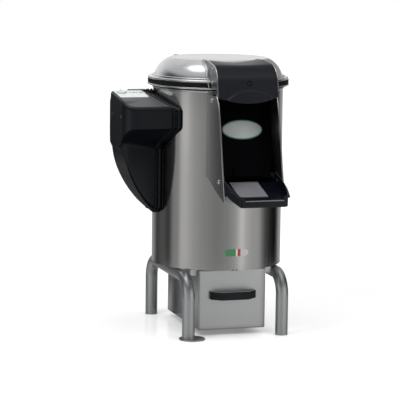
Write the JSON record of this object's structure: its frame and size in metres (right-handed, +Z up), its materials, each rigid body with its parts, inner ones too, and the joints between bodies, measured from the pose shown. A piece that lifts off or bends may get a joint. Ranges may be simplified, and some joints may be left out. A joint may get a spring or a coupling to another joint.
{
  "type": "electric potato peeler",
  "caption": "Floor-standing electric potato peeler: steel drum on tube legs with hinged lid, discharge door and tray, filter drawer, abrasive plate drive and side control housing.",
  "frame": {"origin": "on the floor, under the middle of the machine's bounding box", "axes": "+Z up; -Y is the front, where the chute and drawer are; +X is the machine's right seen from the front, opposite the control housing"},
  "size_m": [0.5764, 0.729, 0.8806],
  "materials": {
    "brushed_steel": "vertical brushed",
    "polished_steel": "polished stainless steel",
    "satin_tube": "satin grey",
    "black_plastic": "satin black moulding",
    "pale_plastic": "satin pale grey",
    "black_rubber": "matt",
    "abrasive": "rough abrasive lining",
    "abrasive_disc": "abrasive coated casting",
    "cast_housing": "painted casting",
    "motor_alloy": "die-cast",
    "brass_plated": "nickel plated",
    "board_green": "circuit board",
    "sticker_white": "printed film with plain colour fields",
    "badge_grey": "satin, bare",
    "button_green": "satin",
    "button_red": "satin"
  },
  "bodies": {
    "machine": {"barrel": "brushed_steel", "barrel_rim": "polished_steel", "drum_liner": "abrasive", "chamber_floor": "brushed_steel", "base_plate": "brushed_steel", "left_leg_frame": "satin_tube", "right_leg_frame": "satin_tube", "leg_plugs": "black_rubber", "floor_flange": "satin_tube", "leg_bolts": "polished_steel", "left_cheek": "brushed_steel", "right_cheek": "brushed_steel", "chute_floor": "brushed_steel", "chute_tray": "black_plastic", "tray_slide_plate": "pale_plastic", "cheek_screws": "polished_steel", "bearing_housing": "cast_housing", "shaft_bearings": "polished_steel", "shaft_seal": "black_rubber", "motor_body": "motor_alloy", "motor_mount": "brushed_steel", "drive_belt": "black_rubber", "peel_duct": "brushed_steel", "filter_box": "brushed_steel", "box_brackets": "brushed_steel", "drain_pipe": "brushed_steel", "water_inlet": "brass_plated", "control_housing": "black_plastic", "housing_gasket": "black_rubber", "control_label": "pale_plastic", "control_board": "board_green", "contactor": "pale_plastic", "electrics_plate": "polished_steel", "cable_gland": "black_plastic", "housing_screws": "polished_steel", "hinge_bracket": "brushed_steel", "hinge_pin": "polished_steel", "front_sticker": "sticker_white"},
    "lid": {"lid_dome": "polished_steel", "lid_rim_band": "polished_steel", "lid_seal": "black_rubber", "visor": "black_plastic", "visor_left_flange": "polished_steel", "visor_right_flange": "polished_steel", "visor_fixings": "polished_steel", "lid_hinge_arms": "brushed_steel"},
    "door": {"door_shell": "black_plastic", "door_back_plate": "black_plastic", "door_badge": "badge_grey"},
    "drawer": {"drawer_front": "brushed_steel", "filter_basket": "polished_steel", "drawer_handle": "black_plastic"},
    "plate": {"abrasive_plate": "abrasive_disc", "main_shaft": "polished_steel", "driven_pulley": "motor_alloy"},
    "rotor": {"motor_shaft": "polished_steel", "motor_pulley": "motor_alloy"},
    "timer": {"timer_knob": "pale_plastic"},
    "start": {"start_button": "button_green"},
    "stop": {"stop_button": "button_red"}
  },
  "joints": [
    {"name": "lid_hinge", "type": "hinge", "parent": "machine", "child": "lid", "pos_m": [0.05975, 0.3535, 0.859], "axis": [-1, 0, 0], "range_deg": [0, 75]},
    {"name": "door_hinge", "type": "hinge", "parent": "machine", "child": "door", "pos_m": [0.05975, -0.1285, 0.759], "axis": [-1, 0, 0], "range_deg": [0, 60]},
    {"name": "drawer_slide", "type": "slide", "parent": "machine", "child": "drawer", "axis": [0, -1, 0], "range_m": [0, 0.26]},
    {"name": "plate_spin", "type": "hinge", "parent": "machine", "child": "plate", "pos_m": [0.05975, 0.1155, 0.4], "axis": [0, 0, 1], "continuous": true},
    {"name": "motor_spin", "type": "hinge", "parent": "machine", "child": "rotor", "pos_m": [0.05975, 0.2335, 0.24], "axis": [0, 0, 1], "continuous": true},
    {"name": "timer_turn", "type": "hinge", "parent": "machine", "child": "timer", "pos_m": [-0.26325, 0.11335, 0.76453], "axis": [0, 0.1295, -0.9916], "range_deg": [0, 300]},
    {"name": "start_press", "type": "slide", "parent": "machine", "child": "start", "axis": [0, 0.1295, -0.9916], "range_m": [0, 0.002], "stiffness_N_per_m": 400, "springref_m": -0.001},
    {"name": "stop_press", "type": "slide", "parent": "machine", "child": "stop", "axis": [0, 0.1295, -0.9916], "range_m": [0, 0.002], "stiffness_N_per_m": 400, "springref_m": -0.001}
  ],
  "couplings": [
    {"joint": "motor_spin", "follows": "plate_spin", "ratio": 3.4043}
  ]
}
